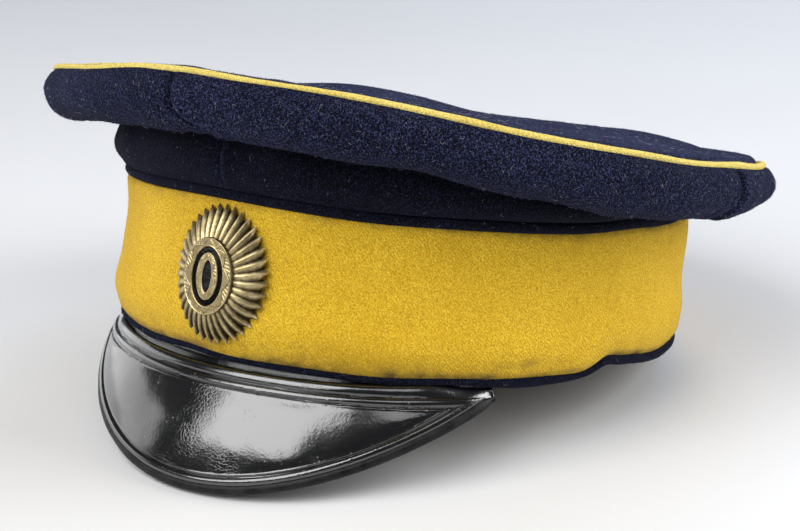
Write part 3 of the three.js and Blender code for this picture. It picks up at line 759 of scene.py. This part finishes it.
def crown_top():
    stations, rings = TOP_STATIONS, TOP_RINGS
    deg = all_round(stations)[:, None]
    share = (1 - np.linspace(0, 1, rings) ** 1.5)[None]
    rim = place(deg, 1, -(PIPING_R + GAP) + 0.35, 0)
    middle = np.array([0, CROWN_SHIFT, 0])
    grid = middle + (rim - middle) * share[..., None]
    grid[..., 2] = top_height(deg, np.broadcast_to(share, (stations, rings)))
    waves = 0.55 * ripple(grid, 80, 31) + 0.35 * ripple(grid, 34, 32) + 0.12 * ripple(grid, 13, 33)
    grid[..., 2] += smooth(1 - share, 0.02, 0.16) * waves
    grid[..., 2] -= 0.5 * bump(share, 1.0, 0.01)
    keep_cloth("navy", grid[:, :-1], True, 0.5)
    points = np.concatenate([grid[:, :-1].reshape(-1, 3), grid[:1, -1]])
    below = points - np.array([0, 0, CROWN_WALL])
    centre = stations * (rings - 1)
    under = centre + 1
    faces = []
    for i in range(stations):
        a, b = i * (rings - 1), (i + 1) % stations * (rings - 1)
        for j in range(rings - 2):
            faces.append((a + j, b + j, b + j + 1, a + j + 1))
            faces.append((under + a + j, under + a + j + 1, under + b + j + 1, under + b + j))
        faces.append((a + rings - 2, b + rings - 2, centre))
        faces.append((under + b + rings - 2, under + a + rings - 2, under + centre))
        faces.append((a, under + a, under + b, b))
    # the top carries no painted_shading value, so the navy material paints it lighter
    piece("crown_top_cloth", np.concatenate([points, below]), faces, NAVY,
          "navy_cloth", "crown_top")


# The band and its welts


WELT_STATIONS = 640
WELT_PAINTED_SHADE = 0.82  # how much painted shade darkens the welts' cloth
FRONT_WELT_H = 2.3  # the lower welt is narrower above the peak
WELT_DENT = (-1.3, 70, 4)  # and dented where the peak's seam ends: mm, angle and spread


def welt(name, deg, low, tall, wall, out, sides, node):
    """A flat strip of cloth with a rounded face."""
    turn = np.linspace(0, 1, sides)
    swell = np.sin(math.pi * turn) ** 0.45
    height = low[:, None] + tall[:, None] * turn
    face = place(deg[:, None], 0, out[:, None] - wall * 0.5 * (1 - swell), height)
    back = place(deg[:, None], 0, (out - wall)[:, None] + 0 * turn, height)
    keep_cloth("navy", face, True, 0.6)
    loops = np.concatenate([face, back[:, ::-1]], 1)
    # painted shade: the welts' cloth is painted darker
    piece(name, loops, loop_faces(len(deg), 2 * sides, True), NAVY, "navy_cloth", node,
          values={"painted_shading": np.full(loops.shape[:2], WELT_PAINTED_SHADE)})


def top_welt():
    deg = all_round(WELT_STATIONS)
    wave = 0.15 * ripple(place(deg, 0, 0, 0), 22, 41)
    out = band_out(deg, np.ones_like(deg)) + TOP_WELT_PROUD + wave
    low = cloth_top(deg) + GAP * 0.5 + wave * 0.4
    tall = np.full_like(deg, WELT_H)
    welt("band_top_welt_strip", deg, low, tall, TOP_WELT_WALL, out, 14, "band_top_welt")


def lower_welt():
    deg = all_round(WELT_STATIONS)
    wave = ripple(place(deg, 0, 0, 0), 19, 42)
    out = band_out(deg, np.zeros_like(deg)) - LOWER_WELT_INSET + 0.15 * wave
    out = out + bumps(deg, [WELT_DENT])
    tall = lerp(FRONT_WELT_H, WELT_H, smooth(np.abs(apart(deg, 0)), 44, 60))
    low = cloth_foot(deg) - GAP * 0.5 - tall
    welt("band_lower_welt_strip", deg, low, tall, LOWER_WELT_WALL, out, 12, "band_lower_welt")


BAND_STATIONS, BAND_ROWS = 512, 60


def band():
    deg = all_round(BAND_STATIONS)[:, None]
    up = np.linspace(0, 1, BAND_ROWS)[None]
    low, high = cloth_foot(deg), cloth_top(deg)
    plain = band_out(deg + 0 * up, up + 0 * deg)
    flat = place(deg, 0, plain, lerp(low, high, up))
    lower, upper = up * BAND_H, (1 - up) * BAND_H
    move = 0.4 * ripple(flat, 62, 51) + 0.14 * ripple(flat, 18, 52)
    move = move * smooth(np.minimum(lower, upper), 0, 8)
    # the cloth turns in at each edge, more so at the back, and puckers along its lower edge; the
    # cockade holds it flat
    back = (1 - np.cos(np.radians(deg))) / 2
    turned = lerp(0.5, 1.2, back) * bump(lower, 0, lerp(0.9, 1.7, back))
    move = move - turned - 0.5 * bump(upper, 0, 0.8)
    pucker = ripple(flat * np.array([1, 1, 0.1]), 7, 53)
    move = move + 0.16 * pucker * bump(lower, 0, 4) * smooth(lower, 0, 1.0)
    move = move + 0.9 * near(deg, 68, 7) * bump(lower, 3, 4)
    move = move * (1 - 0.9 * near(deg, 0, 13))
    grid = flat + grid_normals(flat, True) * move[..., None]
    inner = place(deg, 0, plain - BAND_WALL, lerp(low, high, up))
    keep_cloth("yellow", grid, True)
    # grime along the lower edge, painted shade along the upper edge, and two smears low on the left
    # front
    dirt_and_painted_shade = 0.7 * bump(lower, 0, 1.5) + 0.22 * bump(lower, 0, 6)
    dirt_and_painted_shade = dirt_and_painted_shade + 0.45 * bump(upper, 0, 1.4) + 0.10 * bump(upper, 0, 5)
    dirt_and_painted_shade = dirt_and_painted_shade + 0.45 * near(deg, 57, 6) * bump(lower, 4.5, 1.6)
    dirt_and_painted_shade = dirt_and_painted_shade + 0.3 * near(deg, 25, 25) * bump(lower, 2.0, 2.5)
    dirt_and_painted_shade = {"dirt_and_painted_shade": np.clip(dirt_and_painted_shade, 0, 1)}
    shell("band_cloth", grid, BAND_WALL, True, YELLOW, "yellow_cloth", "band", dirt_and_painted_shade, inner=inner)


# The peak

PEAK_ANGLE, PEAK_REACH, PEAK_DROP, PEAK_WALL, PEAK_ARCH = 52.0, 14.8, 33.2, 1.9, 3.4
PLAN_POWER, DROP_POWER, FLANGE_H, CORNER = 1.43, 1.6, 9.0, 2.4
CORNER_END, BINDING_END = 0.999, 0.985  # how far round to the corners the sheet and its rim go
# In mm: the rows of the sheet's mesh are fine up to this far from the band, and from this far off
# the rim
STRIP_ROWS_TO, RIM_ROWS_FROM = 8.6, 6.2
# In mm: how far from the band the bead's middle runs, how much nearer it comes at the corners, and
# how far from the rim it runs
STRIP_W, STRIP_NARROWS, RIM_STRIP_W = 5.0, 2.0, 2.9


def peak_shares(count, end):
    """Shares of the peak's angle on each side, closer together towards the corners."""
    turn = np.linspace(-1, 1, count) * math.pi / 2 * end
    return np.sin(turn) / math.sin(math.pi / 2 * CORNER_END)


def peak_frame(share):
    """Root, rim, chord length and upward normal of the peak's sections."""
    deg = share * PEAK_ANGLE
    corner = math.radians(PEAK_ANGLE)
    turn = share * math.pi / 2
    near = np.maximum(np.cos(turn), 0)
    foot = band_foot(deg) - 2 * GAP - WELT_H - PEAK_WALL / 2
    root = place(deg, 0, band_out(deg, np.zeros_like(deg)) - LOWER_WELT_INSET - BAND_WALL / 2, foot)
    rim = np.stack([
        BAND_W * math.sin(corner) * np.sin(turn),
        -lerp(BAND_L * math.cos(corner), BAND_L + PEAK_REACH, near**PLAN_POWER),
        foot - lerp(CORNER, PEAK_DROP, near**DROP_POWER),
    ], -1)
    chord = rim - root
    length = np.linalg.norm(chord, axis=-1)
    level = unit(np.stack([-chord[:, 1], chord[:, 0], 0 * length], -1))
    up = unit(np.cross(chord, level))
    up = np.where(up[:, 2:] < 0, -up, up)
    return root, rim, chord, length, up


def peak_points(share, v):
    """Middle surface and upward normal at v from root to rim: arrays [share, v, xyz]."""
    root, _, chord, length, up = peak_frame(share)
    arch = (PEAK_ARCH * np.minimum(1, length / PEAK_DROP))[:, None, None]
    v = v[..., None] if v.ndim == 2 else v[None, :, None]
    at = root[:, None] + chord[:, None] * v + up[:, None] * arch * 4 * v * (1 - v)
    run = unit(chord[:, None] + up[:, None] * arch * 4 * (1 - 2 * v))
    upward = np.broadcast_to(up[:, None], run.shape)
    return at, unit(upward - run * (upward * run).sum(-1, keepdims=True))


def distance_to(points, line):
    """Distance of each point to a line of close points."""
    flat = points.reshape(-1, 3)
    best = np.full(len(flat), 1e9)
    for a, b in zip(line[:-1], line[1:]):
        run = b - a
        t = np.clip(((flat - a) @ run) / max(run @ run, 1e-9), 0, 1)
        best = np.minimum(best, np.linalg.norm(flat - a - t[:, None] * run, axis=1))
    return best.reshape(points.shape[:-1])


def peak_relief(at, share):
    """The bead that runs along the rim, turns sharply at each corner and comes back below the
    band: the relief, how worn it is, and the distance inward from the bead's middle."""
    root, rim, _, _, _ = peak_frame(np.linspace(-1, 1, 200))
    from_band, from_rim = distance_to(at, root), distance_to(at, rim)
    band_line = STRIP_W - STRIP_NARROWS * np.abs(share[:, None]) ** 3
    s_band, s_rim = from_band - band_line, from_rim - RIM_STRIP_W
    s = np.minimum(s_band, s_rim)
    roll = 1.7 * hump(from_band, band_line - 3.1, 1.9) * smooth(from_rim, 5, 13)
    ridge = 0.8 * hump(s, 0, 1.15)
    groove = 0.30 * bump(s, 1.35, 0.28)
    lip = bump(s, 1.9, 0.35)
    worn = np.clip(lip + bump(s, 0.9, 0.4), 0, 1) * lerp(0.25, 1, s_band < s_rim)
    return roll + ridge - groove + 0.12 * lip, worn, s


def peak():
    share = peak_shares(215, CORNER_END)
    length = peak_frame(share)[3][:, None]
    crowd = np.minimum(1, length / (STRIP_ROWS_TO + RIM_ROWS_FROM + 4.0))
    low, high = STRIP_ROWS_TO * crowd, length - RIM_ROWS_FROM * crowd
    rows = [low * np.linspace(0, 1, 42), lerp(low, high, np.linspace(0, 1, 34)[1:-1]),
            lerp(high, length, np.linspace(0, 1, 34))]
    at, normal = peak_points(share, np.concatenate(rows, 1) / length)
    relief, worn, s = peak_relief(at, share)
    relief = relief + (0.25 * ripple(at, 38, 61) + 0.07 * ripple(at, 15, 62)) * smooth(s, 1.5, 6)
    top = at + normal * (PEAK_WALL / 2 + relief)[..., None]
    under = at - normal * (PEAK_WALL / 2)
    deg = share * PEAK_ANGLE
    inside = band_out(deg, np.zeros_like(deg)) - LOWER_WELT_WALL - GAP - LOWER_WELT_INSET
    heights = [band_foot(deg) + h for h in (FLANGE_H, -2 * GAP - WELT_H)]
    flange_top = np.stack([place(deg, 0, inside, h) for h in heights], 1)
    flange_under = np.stack([place(deg, 0, inside - PEAK_WALL, h) for h in heights], 1)
    outer = np.concatenate([flange_top, top], 1)
    inner = np.concatenate([flange_under, under], 1)
    lip = {"lip": np.concatenate([np.zeros((len(share), 2)), worn], 1)}
    shell("peak_sheet", outer, PEAK_WALL, False, LACQUER, "lacquer", "peak", lip, rounding=2,
          flip=True, inner=inner)


RIM_SIDES = 30
RIM_IN, RIM_HALF, RIM_PROUD = 0.65, 1.75, 0.75  # its middle's depth, half width and standing out


def peak_binding():
    """The rounded rim, bound round the edge of the peak."""
    share = peak_shares(301, BINDING_END)
    length = peak_frame(share)[3]
    at, normal = peak_points(share, np.array([1.0]))
    rim, up = at[:, 0], normal[:, 0]
    back, _ = peak_points(share, 1 - np.minimum(4.0 / length[:, None], 0.6))
    away = unit(rim - back[:, 0])
    up = unit(up - away * (up * away).sum(-1, keepdims=True))
    scale = np.clip(length * 0.5 / 3.4, 0.15, 1)
    wave = 1 + 0.05 * ripple(rim, 14, 71)
    section = []
    for t in np.linspace(0, 2 * math.pi, RIM_SIDES, endpoint=False):
        c, s = math.cos(t), math.sin(t)
        x = -RIM_IN + RIM_HALF * math.copysign(abs(c) ** 0.95, c)
        h = (PEAK_WALL / 2 + RIM_PROUD) * math.copysign(abs(s) ** 0.9, s)
        section.append((x * scale, h * wave * lerp(0.8, 1.0, scale)))
    loops = np.stack([rim + away * x[:, None] + up * h[:, None] for x, h in section], 1)
    end = (len(share) - 1) * RIM_SIDES
    faces = [f for f in loop_faces(len(share), RIM_SIDES, True) if f[0] < end]
    faces.append(tuple(range(RIM_SIDES))[::-1])
    faces.append(tuple(range(end, end + RIM_SIDES)))
    piece("peak_binding_edge", loops, faces, RIM, "lacquer", "peak_binding", sharp=70)


# The cockade

RAYS, RAYS_W, RAYS_L = 36, 16.8, 21.0
RIM_LIFT, DOME_RISE, DOME_POWER, RAY_SHEET = 0.7, 4.6, 1.7, 0.7
RING_W, RING_L, RING_IN_W, RING_IN_L = 8.2, 11.4, 5.15, 8.65
IN_W, IN_L, IN_HOLE_W, IN_HOLE_L = 3.65, 7.0, 1.5, 4.7
COCKADE_Z = (BAND_H + BAND_SADDLE) / 2 + 1.3


def cockade_seat(height):
    """How far the cockade's back stands off the band's plain oval at that height."""
    swell = BAND_UP[1]
    return lerp(BAND_SWELL, 0.0, (height / (BAND_H + BAND_SADDLE) - swell) / (1 - swell))


def on_band(right, up, off):
    """A point of the cockade: right and up on its face, and its distance off its back."""
    deg = np.degrees(np.arcsin(right / BAND_W))
    height = COCKADE_Z + up
    return place(deg, 0, cockade_seat(height) + off, height)


def dome_off(share):
    """How far the rays stand off the seat at that share of the way out to their tips."""
    flat = RING_W / RAYS_W
    fall = np.clip((share - flat) / (1 - flat), 0, 1)
    return RIM_LIFT + DOME_RISE * (1 - fall**DOME_POWER)


def clockwise(stations):
    """Angles in equal steps round the cockade, in radians."""
    return -2 * math.pi * np.arange(stations) / stations


def polar(name, rows, material, slot, node, hollow):
    """A thin oval body from rows of (right, up, off) that go once round its section, each with a
    value
    kept as hollow: on the brass how dark it is, from patina in its hollows and, on the rays,
    painted shade; on the enamel it marks the mottled grey middle."""
    loops = np.stack([on_band(*row) for row in rows], 1)
    stations, sides = loops.shape[:2]
    piece(name, loops, loop_faces(stations, sides, True), material, slot, node, sharp=35,
          values={"hollow": np.stack(hollow, 1)})


RAY_STEPS = 18  # points across one ray
RAY_CREST = 0.64  # where its crest lies, as a share of its width
TIP_DEPTH, RAY_TWIST = 2.8, 0.035  # mm between tips and notches, and radians turned at the tips


def cockade_rays():
    stations = RAYS * RAY_STEPS
    turn = clockwise(stations)
    phase = (np.arange(stations) % RAY_STEPS) / RAY_STEPS
    fold = np.where(phase < RAY_CREST, 1 - phase / RAY_CREST,
                    (phase - RAY_CREST) / (1 - RAY_CREST))
    valley = np.clip(np.sqrt(fold**2 + 0.003) - 0.07 * bump(fold, 0.45, 0.12), 0, 1.1)
    tips = 1 - (TIP_DEPTH / RAYS_L) * fold
    # painted shade: rays low on the cockade are painted darker, away from their crests
    lower_rays_painted_shade = 0.25 + 0.45 * smooth(-np.cos(turn), -0.1, 0.9)
    flat = RING_W / RAYS_W
    start = flat * 0.96

    def grown(s):
        return max(0, (s - start) / (1 - start))

    def ray_row(s, scale, off):
        reach = s * lerp(1, tips, grown(s) ** 6) * scale
        around = turn - RAY_TWIST * grown(s) ** 3
        return RAYS_W * reach * np.sin(around), RAYS_L * reach * np.cos(around), off + 0 * turn

    rows, hollow = [], []
    outward = list(np.linspace(start, 1.0, 26))
    for s in outward:
        grow = grown(s)
        off = dome_off(s) - lerp(0.35, 1.0, grow) * valley + 0.12
        rows.append(ray_row(s, 1, np.maximum(off, GAP + 0.3)))
        dark = valley**2.2 * lerp(0.6, 0.95, grow) + lower_rays_painted_shade * (1 - bump(fold, 0, 0.25)) * grow
        hollow.append(np.clip(dark, 0, 1))
    edge = rows[-1]
    rows.append((edge[0] * 0.992, edge[1] * 0.992, edge[2] - 0.3))
    hollow.append(valley)
    # painted shade: the back of the ray sheet and its middle under the ring are given the darkest
    # value
    for s in outward[::-1][1::3] + [flat * 0.9]:
        rows.append(ray_row(s, 0.985, np.maximum(dome_off(s) - 1.05 - RAY_SHEET, 0.32)))
        hollow.append(0 * valley + 1)
    top = dome_off(0)
    for reach, drop in ((0.2, 1.2), (0.2, 0.2), (0.94, 0.05)):
        rows.append((RAYS_W * flat * reach * np.sin(turn), RAYS_L * flat * reach * np.cos(turn),
                     top - drop + 0 * turn))
        hollow.append(0 * valley + 1)
    polar("cockade_ray_dome", rows, BRASS, "brass", "cockade_rays", hollow)


def oval_rows(turn, spans, lift):
    """Rows of a flat oval ring: spans lists (half width, half length, height)."""
    return [(w * np.sin(turn), l * np.cos(turn), lift + h + 0 * turn) for w, l, h in spans]


def engraved(around, s, waves, hatches):
    """A wavy line cut round a ring, with fine hatching on its outer side; s runs from 0 to 1 across
    the ring."""
    saw = np.abs(((around * waves) % 1) * 2 - 1)
    line = lerp(0.14, 0.86, saw)
    cut = bump(s, line, 0.045)
    hatch = bump((around * waves * hatches + s * 1.4) % 1, 0.5, 0.17)
    outside = smooth(s - line, 0.06, 0.12) * (1 - smooth(s, 0.86, 0.9))
    return np.clip(cut + 0.6 * hatch * outside, 0, 1)


def cockade_ring():
    stations = 900
    turn = clockwise(stations)
    around = np.arange(stations) / stations
    seat = dome_off(0) + GAP
    rows = oval_rows(turn, [(RING_IN_W, RING_IN_L, -0.25), (RING_IN_W, RING_IN_L, 0.6)], seat)
    hollow = [0.5 + 0 * turn] * 2
    for s in np.linspace(0, 1, 27):
        w, l = lerp(RING_IN_W + 0.2, RING_W - 0.12, s), lerp(RING_IN_L + 0.2, RING_L - 0.12, s)
        cut = engraved(around, s, 8, 7)
        rim = bump(s, 0.03, 0.04) + bump(s, 0.96, 0.04)
        right, up, off = oval_rows(turn, [(w, l, 0.84)], seat)[0]
        rows.append((right, up, off - 0.22 * cut + 0.10 * rim))
        hollow.append(0.55 * cut)
    rows += oval_rows(turn, [(RING_W, RING_L, 0.7), (RING_W, RING_L, -0.25)], seat)
    hollow += [0.6 + 0 * turn] * 2
    polar("cockade_ring_plate", rows[::-1], BRASS, "brass", "cockade_ring", hollow[::-1])


def cockade_inner_ring():
    stations = 480
    turn = clockwise(stations)
    around = np.arange(stations) / stations
    seat = dome_off(0) + GAP + 0.3
    rows = oval_rows(turn, [(IN_HOLE_W, IN_HOLE_L, 0.0), (IN_HOLE_W, IN_HOLE_L, 0.45)], seat)
    hollow = [0.4 + 0 * turn] * 2
    for s in np.linspace(0, 1, 17):
        w, l = lerp(IN_HOLE_W + 0.1, IN_W - 0.1, s), lerp(IN_HOLE_L + 0.1, IN_L - 0.1, s)
        cut = engraved(around, s, 7, 5) * (0.12 < s < 0.88)
        right, up, off = oval_rows(turn, [(w, l, 0.55)], seat)[0]
        rows.append((right, up, off - 0.14 * cut + 0.16 * math.sin(math.pi * s)))
        hollow.append(cut * 0.7)
    rows += oval_rows(turn, [(IN_W, IN_L, 0.4), (IN_W, IN_L, 0.0)], seat)
    hollow += [0.3 + 0 * turn] * 2
    polar("cockade_inner_oval", rows[::-1], BRASS, "brass", "cockade_inner_ring", hollow[::-1])


def cockade_enamel():
    """The enamel, whose colour is a mottled grey inside the inner ring and an even black outside
    it.
    """
    turn = clockwise(160)
    wide, long = RING_IN_W - GAP, RING_IN_L - GAP
    spans = [(0.01, 0.02, -0.2), (0.01, 0.02, 0.32)]
    for s in np.linspace(0.15, 1, 10):
        spans.append((wide * s, long * s, 0.32 + 0.12 * bump(s, 1, 0.06)))
    spans.append((wide, long, -0.2))
    rows = oval_rows(turn, spans, dome_off(0) + GAP)[::-1]
    hollow = [0 * turn + (1 if w < IN_W * 0.8 else 0) for w, _, _ in spans][::-1]
    polar("cockade_enamel_field", rows, ENAMEL, "enamel", "cockade_enamel", hollow)


crown_top()
crown_quarter("crown_front_left", 0, "crown_quarter_front_left")
crown_quarter("crown_rear_left", 90, "crown_quarter_rear_left")
crown_quarter("crown_rear_right", 180, "crown_quarter_rear_right")
crown_quarter("crown_front_right", 270, "crown_quarter_front_right")
crown_piping()
top_welt()
band()
lower_welt()
peak()
peak_binding()
cockade_rays()
cockade_ring()
cockade_enamel()
cockade_inner_ring()
fibres("lint_on_navy", "navy", "navy_cloth", PALE_LINT, count=1900, seed=81,
       length=(0.4, 1.8), radius=0.042, lift=0.35, curl=0.35)
nap("nap_navy", "navy", "navy_cloth", NAVY_NAP, count=30000, seed=82,
    length=(0.25, 0.7), radius=0.07, lean=1.2)
nap("nap_yellow", "yellow", "yellow_cloth", YELLOW_NAP, count=12000, seed=83,
    length=(0.2, 0.5), radius=0.06, lean=1.2)


# Floor, light and camera


FLOOR_HALF = 6.0  # metres


def floor():
    n = Nodes("pale_floor")
    material = n.finish(n.ramp(n.noise(3, 2), (0.3, 0.68), (0.7, 0.71)), 0.7)
    mesh = bpy.data.meshes.new("floor")
    corners = [(x * FLOOR_HALF, y * FLOOR_HALF, 0) for x, y in ((-1, -1), (1, -1), (1, 1), (-1, 1))]
    mesh.from_pydata(corners, [], [(0, 1, 2, 3)])
    mesh.materials.append(material)
    obj = add("floor", mesh)


def bearing(azimuth, elevation):
    """The direction from the cap at that bearing: azimuth 0 is the front, 90 the wearer's left."""
    return Vector((math.cos(elevation) * math.sin(azimuth),
                   -math.cos(elevation) * math.cos(azimuth), math.sin(elevation)))


def softbox(name, azimuth, elevation, distance, size, brightness, aim=(0, -0.02, 0.06),
            colour=(1, 1, 1)):
    """A soft rectangular light at that bearing from aim, as bright as that many whites."""
    light = bpy.data.lights.new(name, "AREA")
    light.shape = "RECTANGLE"
    light.size, light.size_y = size
    light.energy = brightness * math.pi * size[0] * size[1]
    light.color = colour
    obj = add(name, light)
    offset = bearing(math.radians(azimuth), math.radians(elevation)) * distance
    obj.location = Vector(aim) + offset
    obj.rotation_euler = (-offset).to_track_quat("-Z", "Y").to_euler()


floor()
softbox("key", -13, 46, 1.1, (1.02, 1.02), 5.2, aim=(0, -0.10, 0.03))
softbox("right_small", 58, 57, 1.3, (0.45, 0.45), 2.0, aim=(0.03, -0.10, 0.03))
softbox("left_broad", -88, 11, 1.2, (1.25, 0.62), 1.5, aim=(-0.05, -0.10, 0.03))
softbox("right_rim", 112, 24, 1.4, (0.8, 1.0), 7.8)
softbox("back_top", 185, 38, 1.7, (1.2, 0.5), 6.6, colour=(0.74, 0.82, 1.0))

world = bpy.data.worlds.new("studio")
world.use_nodes = True
world.node_tree.nodes["Background"].inputs["Color"].default_value = (0.95, 0.97, 1.0, 1)
world.node_tree.nodes["Background"].inputs["Strength"].default_value = 0.08
bpy.context.scene.world = world
bpy.context.scene.view_settings.view_transform = "Standard"

# The photograph's view, fitted to it: degrees, metres and pixels
VIEW_AZ, VIEW_EL, VIEW_DIST, VIEW_ROLL = 35.05, 18.62, 0.620, -2.07
VIEW_OFF = (-0.00236, -0.00631)
FOCAL_PX, FRAME_PX, SENSOR = 1838.7, 800, 36.0
NEAREST = 0.01


def camera():
    a, e, roll = (math.radians(v) for v in (VIEW_AZ, VIEW_EL, VIEW_ROLL))
    back = bearing(a, e)
    right = Vector((math.cos(a), math.sin(a), 0))
    up = back.cross(right)
    aim = Vector(to_row(np.array([0, 0, BAND_H / 2])))
    eye = aim + back * VIEW_DIST + right * VIEW_OFF[0] + up * VIEW_OFF[1]
    r = right * math.cos(roll) + up * math.sin(roll)
    u = -right * math.sin(roll) + up * math.cos(roll)
    data = bpy.data.cameras.new("photo_view")
    data.sensor_width = SENSOR
    data.lens = FOCAL_PX * SENSOR / FRAME_PX
    data.clip_start = NEAREST
    obj = add("photo_view", data)
    obj.matrix_world = Matrix.Translation(eye) @ Matrix((r, u, back)).transposed().to_4x4()
    bpy.context.scene.camera = obj


camera()
